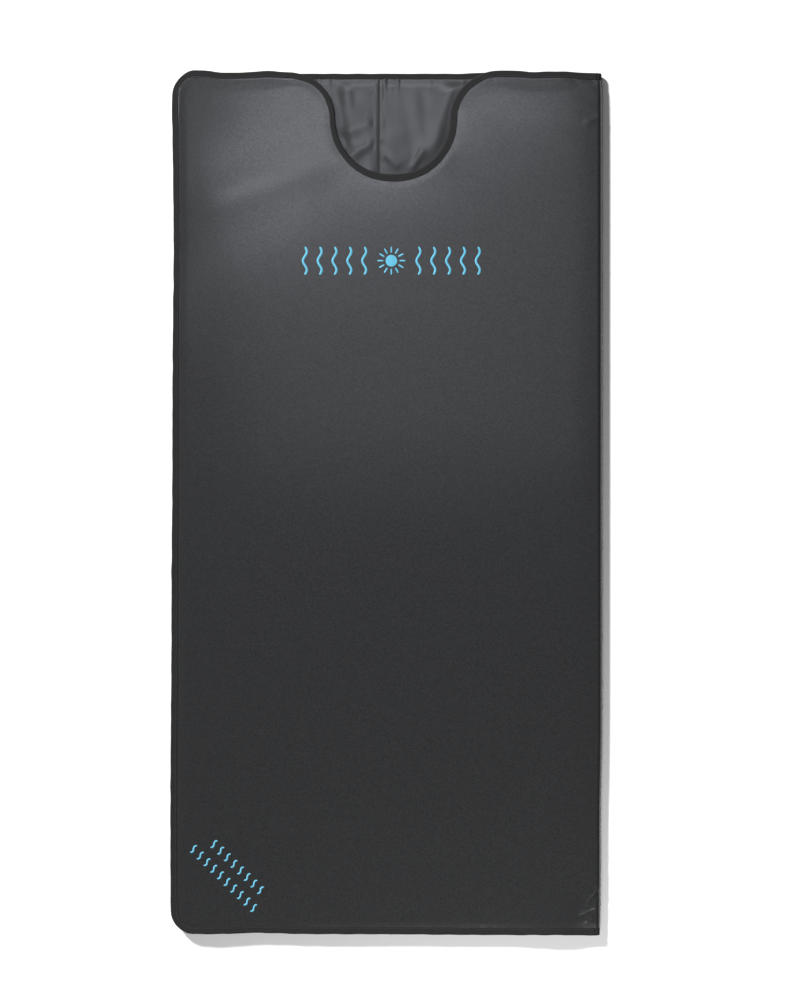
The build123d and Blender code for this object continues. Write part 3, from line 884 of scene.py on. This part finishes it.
# ---- materials
class Shader:
    """Principled material with helpers for its node tree."""

    def __init__(self, name, color, roughness, **values):
        self.material = bpy.data.materials.new(name)
        self.material.use_nodes = True
        self.tree = self.material.node_tree
        self.surface = self.tree.nodes["Principled BSDF"]
        self.surface.inputs["Base Color"].default_value = (*color, 1)
        self.surface.inputs["Roughness"].default_value = roughness
        for key, value in values.items():
            self.surface.inputs[key.replace("_", " ")].default_value = value

    def node(self, kind, **settings):
        made = self.tree.nodes.new(kind)
        for key, value in settings.items():
            if key in made.inputs:
                made.inputs[key].default_value = value
            else:
                setattr(made, key, value)
        return made

    def link(self, source, target):
        self.tree.links.new(source, target)

    def noise(self, scale, detail=3.0, roughness=0.5):
        made = self.node("ShaderNodeTexNoise", Scale=scale, Detail=detail, Roughness=roughness)
        self.link(self.node("ShaderNodeTexCoord").outputs["Object"], made.inputs["Vector"])
        return made.outputs["Fac"]

    def spread(self, value, low, high, start=0.3, end=0.7):
        made = self.node("ShaderNodeMapRange")
        for key, number in (("From Min", start), ("From Max", end), ("To Min", low), ("To Max", high)):
            made.inputs[key].default_value = number
        self.link(value, made.inputs["Value"])
        return made.outputs["Result"]

    def blend_colors(self, factor, first, second):
        made = self.node("ShaderNodeMix", data_type="RGBA")
        self.link(factor, made.inputs["Factor"])
        for socket in made.inputs:
            if socket.type == "RGBA":
                socket.default_value = (*first, 1) if socket.name == "A" else (*second, 1)
        color = [socket for socket in made.outputs if socket.type == "RGBA"][0]
        self.link(color, self.surface.inputs["Base Color"])

    def mottle(self, color, darkest, scale, detail=3.0):
        """Colour that noise takes down to a share of itself."""
        dark = tuple(value * darkest for value in color)
        self.blend_colors(self.spread(self.noise(scale, detail), 0, 1), dark, color)

    def drive(self, socket, value, low, high):
        self.link(self.spread(value, low, high), self.surface.inputs[socket])

    def maths(self, kind, first, second):
        made = self.node("ShaderNodeMath", operation=kind)
        for socket, value in zip(made.inputs, (first, second)):
            if isinstance(value, (int, float)):
                socket.default_value = value
            else:
                self.link(value, socket)
        return made.outputs["Value"]

    def bump(self, height, strength, distance):
        made = self.node("ShaderNodeBump", Strength=strength, Distance=distance)
        self.link(height, made.inputs["Height"])
        self.link(made.outputs["Normal"], self.surface.inputs["Normal"])


def cover_leather():
    """Coated fabric with a fine pebbled grain under a thin gloss."""
    made = Shader("cover_leather", (0.016, 0.0163, 0.017), 0.33, Coat_Roughness=0.17)
    patches = made.spread(made.noise(330, 2), 0, 1)
    made.blend_colors(patches, (0.0125, 0.0128, 0.0133), (0.0195, 0.0198, 0.0206))
    made.bump(made.noise(380, 3, 0.6), 0.25, 0.4 * MM)
    grain = made.noise(300, 2)
    made.drive("Roughness", grain, 0.30, 0.36)
    made.drive("Specular IOR Level", grain, 0.23, 0.37)
    made.drive("Coat Weight", grain, 0.30, 0.50)
    return made.material


def lining_leather():
    """Smoother and glossier coated fabric."""
    made = Shader("lining_leather", (0.016, 0.0162, 0.017), 0.38, Coat_Weight=0.35, Coat_Roughness=0.22)
    made.surface.inputs["Specular IOR Level"].default_value = 0.3
    patches = made.spread(made.noise(9, 3), 0, 1)
    made.blend_colors(patches, (0.014, 0.0142, 0.015), (0.018, 0.0183, 0.0192))
    made.bump(made.noise(500, 3), 0.25, 0.3 * MM)
    made.drive("Roughness", made.noise(30, 4), 0.33, 0.41)
    return made.material


def woven_tape():
    """Ribbed woven tape; the ribs cross it, lighter on their crests as a painted highlight and darker
    between them as painted shade.
    """
    made = Shader("woven_tape", (0.015, 0.015, 0.0153), 0.8, Specular_IOR_Level=0.15)
    split = made.node("ShaderNodeSeparateXYZ")
    made.link(made.node("ShaderNodeUVMap", uv_map="Run").outputs["UV"], split.inputs["Vector"])

    def waves(axis, spacing):
        return made.maths("SINE", made.maths("MULTIPLY", split.outputs[axis], 2 * math.pi / spacing), 0)

    weave = made.maths("ADD", waves("X", 2.2 * MM), made.maths("MULTIPLY", waves("Y", 0.6 * MM), 0.3))
    made.bump(made.maths("ADD", weave, made.noise(900, 3)), 0.6, 0.25 * MM)
    # The weave that raises the ribs also sets their colour: painted highlight on the crests, painted shade
    # in the grooves.
    made.blend_colors(made.spread(weave, 0, 1, -1, 1), (0.006, 0.006, 0.0062), (0.019, 0.019, 0.0195))
    return made.material


def thread(name, color, gloss, sheen):
    """Twisted sewing or embroidery thread."""
    made = Shader(name, color, gloss, Sheen_Weight=sheen, Sheen_Roughness=0.4)
    made.mottle(color, 0.72, 700)
    made.bump(made.noise(2600, 2), 0.3, 0.1 * MM)
    return made.material


def plain_fabric(name, color, scale=500):
    """Non-woven or felt: fibres as fine noise."""
    made = Shader(name, color, 0.9, Sheen_Weight=0.15)
    made.mottle(color, 0.75, scale / 4, 5)
    made.bump(made.noise(scale, 6, 0.7), 0.5, 0.5 * MM)
    return made.material


def plastic(name, color, rough, grain=1500):
    """Moulded plastic with a fine spark-eroded texture."""
    made = Shader(name, color, rough)
    made.bump(made.noise(grain, 3), 0.15, 0.1 * MM)
    made.drive("Roughness", made.noise(60, 3), rough - 0.05, rough + 0.06)
    made.mottle(color, 0.85, 40)
    return made.material


def metal(name, color, rough):
    """Plain metal with slight wear."""
    made = Shader(name, color, rough, Metallic=1.0)
    made.drive("Roughness", made.noise(200, 4), rough - 0.08, rough + 0.1)
    made.bump(made.noise(800, 3), 0.1, 0.05 * MM)
    return made.material


def floor_paint():
    """Plain pale studio floor."""
    made = Shader("studio_floor", (0.93, 0.93, 0.93), 0.9)
    made.surface.inputs["Specular IOR Level"].default_value = 0.1
    return made.material


LOOKS = {
    "cover": cover_leather(),
    "lining": lining_leather(),
    "binding": woven_tape(),
    "thread": thread("cyan_thread", (0.085, 0.40, 0.56), 0.4, 0.3),
}
for kind, slot_name, *values in (
    (plain_fabric, "felt", (0.62, 0.61, 0.57)),
    (metal, "foil", (0.82, 0.83, 0.84), 0.25),
    (plain_fabric, "scrim", (0.8, 0.79, 0.75), 900),
    (plastic, "carbon_ribbon", (0.03, 0.03, 0.032), 0.5),
    (plain_fabric, "charcoal", (0.05, 0.05, 0.05)),
    (plain_fabric, "clay", (0.42, 0.27, 0.18)),
    (plain_fabric, "crystal", (0.36, 0.28, 0.46), 1200),
    (plastic, "magnet", (0.09, 0.08, 0.07), 0.7),
    (plastic, "hook", (0.02, 0.02, 0.02), 0.6, 2400),
    (plain_fabric, "loop", (0.02, 0.02, 0.021), 1800),
    (plastic, "wire", (0.7, 0.69, 0.66), 0.5),
    (plastic, "thermostat", (0.75, 0.72, 0.64), 0.45),
    (plastic, "sensor", (0.15, 0.15, 0.15), 0.4),
    (metal, "crimp", (0.75, 0.6, 0.32), 0.35),
    (plastic, "inlet_plastic", (0.022, 0.022, 0.024), 0.45),
    (plastic, "contact_block", (0.6, 0.58, 0.52), 0.35),
    (metal, "pin", (0.85, 0.7, 0.38), 0.25),
    (metal, "screw", (0.6, 0.6, 0.6), 0.35),
):
    LOOKS[slot_name] = kind(slot_name, *values)
SEWING_THREAD = thread("sewing_thread", (0.028, 0.028, 0.03), 0.8, 0.05)


def dress(piece, slot, look=None):
    """Material and slot of a new piece."""
    piece.data.materials.append(look or LOOKS[slot])


def settle(piece, slot, body, replaced):
    """Dress a piece that stands for a node and moves with one body."""
    dress(piece, slot)
    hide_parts(replaced)
    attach(piece, body)


def dress_frame():
    """Materials of the CAD nodes that stay."""
    slots = {part["node"]: part["material_slot"] for part in frame["record"]["subparts"]}
    for name, node in nodes.items():
        for place in node.material_slots:
            place.material = LOOKS[slots[name]]


# ---- pieces
COVER_U = spaced(
    (-HALF_W + 2 * MM, 3 * MM), (-0.442, 0.8 * MM), (-0.434, 3.5 * MM), (-0.42, 6 * MM), (-0.36, 12 * MM),
    (-0.23, 4.6 * MM), (0.24, 12 * MM), (0.36, 4 * MM), (0.40, 2 * MM), (FOLD_X, 2 * MM), FOLD_END
)
COVER_Y = spaced(
    (2 * MM - HALF_L, 3 * MM), (-0.890, 1.2 * MM), (-0.884, 2.2 * MM), (-0.79, 8 * MM), (-0.70, 14 * MM),
    (0.62, 4 * MM), (0.86, 2.4 * MM), (0.882, 0.8 * MM), (0.892, 3 * MM), HALF_L - 2 * MM
)
COARSE_U = spaced((-HALF_W + 2 * MM, 5 * MM), (-0.39, 15 * MM), (0.40, 5 * MM), (FOLD_X, 2.2 * MM), FOLD_END)
COARSE_Y = spaced((2 * MM - HALF_L, 5 * MM), (-0.84, 15 * MM), (0.84, 5 * MM), HALF_L - 2 * MM)
LINING_BEND = 6
FELT_EDGE = 26 * MM
FELT_THICK = 3.0 * MM
FELT_PLAY = 0.45 * MM
FELT_THINNING = 0.8


def cross_fold(piece, flap):
    """Bake a piece's placement into its mesh, the same way for both bodies."""
    if flap:
        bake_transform(piece)
    else:
        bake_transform(piece)


def make_cover(flap):
    """Outer cover of one panel with its half of the fold."""
    name = BODY[flap]
    lines = (COVER_U, COVER_Y) if flap else (COARSE_U, COARSE_Y)
    cover = panel_sheet(f"{name}_cover", *lines, flap, cover_face(flap, 0), cover_face(flap, SKIN))
    dress(cover, "cover")
    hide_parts(f"{name}_outer_cover", "fold_outer_cover")
    cross_fold(cover, flap)


def lining_lines(left):
    """Grid lines of one width of lining, fine round the seam; the right width also bends."""
    fine = 0.9 * MM
    band = 8 * MM
    if left:
        start = -HALF_W + 2 * MM
        u = spaced((start, 4 * MM), (-0.39, 9 * MM), (-0.21, 3.5 * MM), (SEAM_X - band, fine), SEAM_X)
    else:
        u = spaced((SEAM_X, fine), (SEAM_X + band, 3.5 * MM), (0.23, 9 * MM), (0.39, 4 * MM), FOLD_X)
        arc = FOLD_X + (FOLD_END - FOLD_X) * np.arange(1, LINING_BEND + 1) / LINING_BEND
        u = np.concatenate([u, arc])
    end = HALF_L - 2 * MM
    y = spaced((-end, 4 * MM), (-0.84, 14 * MM), (0.62, 4 * MM), (0.86, 1.4 * MM), end)
    return u, y


def make_lining(flap, left):
    """One width of lining; the right one has its half of the fold."""
    name = BODY[flap]
    side = "left" if left else "right"
    faces = (lining_face(flap, SKIN), lining_face(flap))
    lining = panel_sheet(f"{name}_lining_{side}_width", *lining_lines(left), flap, *faces)
    dress(lining, "lining")
    if left:
        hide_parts(f"{name}_lining_left")
        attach(lining, name)
    else:
        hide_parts(f"{name}_lining_right", "fold_lining")
    if not left:
        cross_fold(lining, flap)


def make_felt(flap):
    """Insulation pad, thinner towards the sewn edge, with its half of the fold."""
    name = BODY[flap]
    top = SKIN + FELT_PLAY

    def inner(u, y):
        thick = (FELT_THICK - FELT_PLAY) * (1 - FELT_THINNING * pinch(u, y, flap))
        return wrap(u, y, cover_depth(u, y, flap) + top + thick, flap)

    felt = panel_sheet(f"{name}_felt", COARSE_U, COARSE_Y, flap, cover_face(flap, top), inner, FELT_EDGE)
    dress(felt, "felt")
    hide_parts(f"{name}_insulation_pad", "fold_insulation")
    cross_fold(felt, flap)


def make_jumper(flap):
    """Half of the flat lead that passes round the fold."""
    low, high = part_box("fold_jumper_wires")
    u = np.linspace(FOLD_X, FOLD_END, 13)
    outer = FOLD_R - (high.x - FOLD_X)
    thick = 1.6 * MM
    corners = ((low.y, outer), (high.y, outer), (high.y, outer + thick), (low.y, outer + thick))
    rings = np.stack([wrap(u, y + 0 * u, depth + 0 * u, flap) for y, depth in corners], 1)
    jumper = sweep(f"{BODY[flap]}_jumper_lead", rings if flap else rings[:, ::-1])
    dress(jumper, "wire")
    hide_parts("fold_jumper_wires")
    cross_fold(jumper, flap)


def make_bindings(flap):
    """Tape round one panel: the runs on the panel, the neck, and four short ones round the fold."""
    name = BODY[flap]
    runs = panel_runs(flap)
    for number, run in enumerate(runs):
        tape = tape_piece(f"{name}_binding_{number + 1}", run, flap, seed=70 + number)
        settle(tape, "binding", name, f"{name}_edge_binding")
    if flap:
        neck = tape_piece("neck_tape", neck_run(), True, extra=NECK_EXTRA, seed=75)
        settle(neck, "binding", "flap", "neck_binding")
        runs.append(neck_run(0))
    thread_line = edge_stitches(f"{name}_binding_stitches", runs, flap)
    dress(thread_line, "binding", SEWING_THREAD)
    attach(thread_line, name)
    for end, run_of in (("head", head_run), ("foot", foot_run)):
        for half, depth in (("outer", 0), ("inner", PANEL)):
            run = run_of(FOLD_X, FOLD_END)
            tape = tape_piece(f"{name}_fold_{end}_tape_{half}", run, flap, half)
            dress(tape, "binding")
            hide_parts(f"fold_{end}_binding")
            cross_fold(tape, flap)


def make_closure(flap, foot):
    """Hook or loop strip that follows the lining, thicker inside its flat border."""
    name = BODY[flap]
    kind = "loop" if flap else "hook"
    where = "foot" if foot else "side"
    node = f"{name}_{kind}_strip_{where}"
    low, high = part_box(node)
    thick = 1.0 * MM
    border = 2 * MM
    base_gap = 0.02 * MM

    def lines(start, end, fine):
        if not fine:
            return spaced((start, 8 * MM), end)
        return spaced((start, 1.3 * MM), (start + 2 * border, 3 * MM), (end - 2 * border, 1.3 * MM), end)

    def edge_distance(u, y):
        return np.minimum(np.minimum(u - low.x, high.x - u), np.minimum(y - low.y, high.y - y))

    def outer(u, y):
        nap = past(edge_distance(u, y), border, 1.2 * MM)
        return wrap(u, y, inner_depth(u, y, flap) + thick * mix(0.55, 1.0, nap), flap)

    def under(u, y):
        return wrap(u, y, inner_depth(u, y, flap) + base_gap, flap)

    def everywhere(u, y):
        return edge_distance(u, y) + MM

    grid = (lines(low.x, high.x, not foot), lines(low.y, high.y, foot))
    strip = panel_sheet(f"{kind}_strip_{where}", *grid, flap, under, outer, MM / 2, everywhere)
    settle(strip, kind, name, node)


# ---- embroidery
STRAND_PITCH = 0.42 * MM
STRAND_WIDTH = 0.62 * MM
STRAND_RISE = 0.55 * MM
STRAND_CROWN = 0.2 * MM
STRAND_STEPS = 5
STRAND_SLANT = 0.25


def strands(lefts, rights, along):
    """Arched thread strands from left points to right points, as vertices and faces."""
    vertices, faces = [], []
    for left, right, direction in zip(lefts, rights, along):
        base = len(vertices)
        for value in np.linspace(0, 1, STRAND_STEPS):
            middle = left + (right - left) * value
            arch = 0.25 + 0.75 * math.sin(math.pi * value) ** 0.5 if 0 < value < 1 else 0.0
            for side, crown in ((-0.5, 0.0), (0.0, STRAND_CROWN), (0.5, 0.0)):
                flat = middle + direction * side * STRAND_WIDTH
                vertices.append((flat[0], flat[1], crown + arch * STRAND_RISE))
        for row in range(STRAND_STEPS - 1):
            for column in range(2):
                a = base + row * 3 + column
                faces.append((a, a + 3, a + 4, a + 1))
    return vertices, faces


def wave_strands(height_y, stroke, amplitude, turns=1.5):
    """Satin stitches across an upright wave centred on the origin."""
    count = int(height_y / STRAND_PITCH)
    t = (np.arange(count) + 0.5) / count
    x = amplitude * np.sin(2 * math.pi * turns * t)
    slope = amplitude * 2 * math.pi * turns * np.cos(2 * math.pi * turns * t) / height_y
    along = np.stack([slope, np.ones_like(slope)], 1)
    along = along / np.linalg.norm(along, axis=1)[:, None]
    across = np.stack([along[:, 1], -along[:, 0]], 1)
    middle = np.stack([x, (t - 0.5) * height_y], 1)
    taper = np.minimum(1, np.sqrt(np.minimum(t, 1 - t) * height_y / (stroke * 0.5) + 0.05))
    half = (stroke / 2 * taper)[:, None]
    slant = along * STRAND_SLANT * half
    return strands(middle - across * half - slant, middle + across * half + slant, along)


def disc_strands(radius):
    """Satin stitches across a disc."""
    y = np.arange(-radius + STRAND_PITCH, radius, STRAND_PITCH)
    half = np.sqrt(radius**2 - y**2)
    along = np.tile((0.0, 1.0), (len(y), 1))
    return strands(np.stack([-half, y], 1), np.stack([half, y], 1), along)


def turned(x, y, angle):
    """Points turned round the origin by an angle in radians."""
    return x * math.cos(angle) - y * math.sin(angle), x * math.sin(angle) + y * math.cos(angle)


def embroider(name, node, parts):
    """Join (vertices, faces, angle, place) parts into one piece on the flap's cover."""
    vertices, faces = [], []
    start = 0
    for local, local_faces, angle, (place_x, place_y) in parts:
        local = np.array(local)
        x, y = turned(local[:, 0], local[:, 1], math.radians(angle))
        x = x + place_x
        y = y + place_y
        vertices.append(wrap(x, y, cover_depth(x, y, True) - local[:, 2] + 0.05 * MM, True))
        faces += [tuple(start + k for k in face) for face in local_faces]
        start += len(local)
    piece = new_object(name, np.concatenate(vertices), faces)
    settle(piece, "thread", "flap", node)


def make_emblem():
    """A sun between two sets of rising heat waves."""
    low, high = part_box("emblem_embroidery")
    centre = np.array(((low.x + high.x) / 2, (low.y + high.y) / 2))
    stroke = 4.6 * MM
    amplitude = 4 * MM
    spacing = 31 * MM
    rays = 12
    ray_place = 23 * MM
    parts = [(*disc_strands(12 * MM), 0, centre)]
    ray = wave_strands(12 * MM, 3.2 * MM, 0)
    for i in range(rays):
        angle = i * 360 / rays
        parts.append((*ray, angle - 90, centre + turned(ray_place, 0, math.radians(angle))))
    wave = wave_strands(high.y - low.y, stroke, amplitude)
    outermost = (high.x - low.x) / 2 - stroke / 2 - amplitude
    for side in (-1, 1):
        for i in range(5):
            parts.append((*wave, 0, centre + (side * (outermost - i * spacing), 0)))
    embroider("sun_and_waves", "emblem_embroidery", parts)


def make_corner_marks():
    """Two slanting rows of small heat waves."""
    mark = wave_strands(20 * MM, 3.4 * MM, 2.4 * MM, 1.0)
    spacing = 19.5 * MM
    slant = -45
    parts = []
    for x, y, count in ((-0.3135, -0.760, 8), (-0.3415, -0.784, 10)):
        for i in range(count):
            step_x, step_y = turned((i - (count - 1) / 2) * spacing, 0, math.radians(slant))
            parts.append((*mark, slant, (x + step_x, y + step_y)))
    embroider("corner_waves", "corner_embroidery", parts)


# ---- stage
COOL = (0.88, 0.91, 1.0)
WHITE = (1.0, 1.0, 1.0)
# Lamps: name, place, target, size, power, colour.  The cool ones are kept off the floor.
LAMPS = (
    ("key", (-8.4, 9.9, 7.5), (0, 0, 0), (1.8, 1.8), 5300, WHITE),
    ("fill", (0.4, -2.1, 1.1), (0.2, -0.6, 0), (0.9, 0.9), 28.5, WHITE),
    ("glow", (-0.165, 1.06, 2.3), (-0.165, 1.06, 0), (0.53, 0.38), 3.3, COOL),
    ("low_glow", (-0.40, 0.88, 2.3), (-0.40, 0.88, 0), (0.26, 0.19), 1.9, COOL),
    ("shoulder", (0.29, 1.15, 2.3), (0.29, 1.15, 0), (0.28, 0.12), 0.85, COOL),
    ("soft", (0.085, 0.67, 2.4), (0.085, 0.67, 0), (1.0, 1.14), 3.5, COOL),
    ("head", (0.0, 1.67, 2.1), (0.0, 0.85, 0), (0.66, 0.4), 6.5, COOL),
)
WORLD_STRENGTH = 0.08
FLOOR_REACH = 14
FLOOR_Z = -0.4 * MM
CAMERA_HEIGHT = 7.0
CAMERA_PLACE = (0.026, 0.0073)
SEEN_LENGTH = 2.089
SENSOR_MM = 36


def make_floor():
    """Large plain floor just under the blanket."""
    reach = FLOOR_REACH
    corners = [(-reach, -reach, 0), (reach, -reach, 0), (reach, reach, 0), (-reach, reach, 0)]
    floor = new_object("studio_floor", corners, [(0, 1, 2, 3)])
    floor.data.materials.append(floor_paint())
    floor.location.z = FLOOR_Z
    return floor


def area_light(name, place, target, size, power, color):
    lamp = bpy.data.lights.new(name, "AREA")
    lamp.shape = "RECTANGLE"
    lamp.size, lamp.size_y = size
    lamp.energy = power
    lamp.color = color
    made = placed(name, lamp, place)
    way = Vector(target) - Vector(place)
    made.rotation_euler = way.to_track_quat("-Z", "Y").to_euler()
    return made


def spare(lamp, piece):
    """Keep a light off one piece."""
    group = bpy.data.collections.new(f"not_lit_by_{lamp.name}")
    group.objects.link(piece)
    lamp.light_linking.receiver_collection = group
    group.collection_objects[0].light_linking.link_state = "EXCLUDE"


def make_lights(floor):
    """Low far key from the head and the free side, a fill at the foot, soft lamps over the head half."""
    for lamp in LAMPS:
        made = area_light(*lamp)
        if lamp[-1] == COOL:
            spare(made, floor)
    world = bpy.data.worlds.new("studio")
    world.use_nodes = True
    background = world.node_tree.nodes["Background"]
    background.inputs["Color"].default_value = (*WHITE, 1)
    background.inputs["Strength"].default_value = WORLD_STRENGTH
    bpy.context.scene.world = world


def make_camera():
    """Straight down, the blanket a little left of the middle of the frame."""
    data = bpy.data.cameras.new("camera")
    data.sensor_width = SENSOR_MM
    data.lens = SENSOR_MM * (CAMERA_HEIGHT - HEIGHT) / SEEN_LENGTH
    data.clip_end = 50
    bpy.context.scene.camera = placed("camera", data, (*CAMERA_PLACE, CAMERA_HEIGHT))
    bpy.context.scene.view_settings.view_transform = "Standard"


make_camera()
make_lights(make_floor())
dress_frame()
for is_flap in (False, True):
    make_cover(is_flap)
    make_lining(is_flap, True)
    make_lining(is_flap, False)
    seam_stitches(is_flap)
    make_felt(is_flap)
    make_jumper(is_flap)
    make_bindings(is_flap)
    make_closure(is_flap, False)
    make_closure(is_flap, True)
make_emblem()
make_corner_marks()
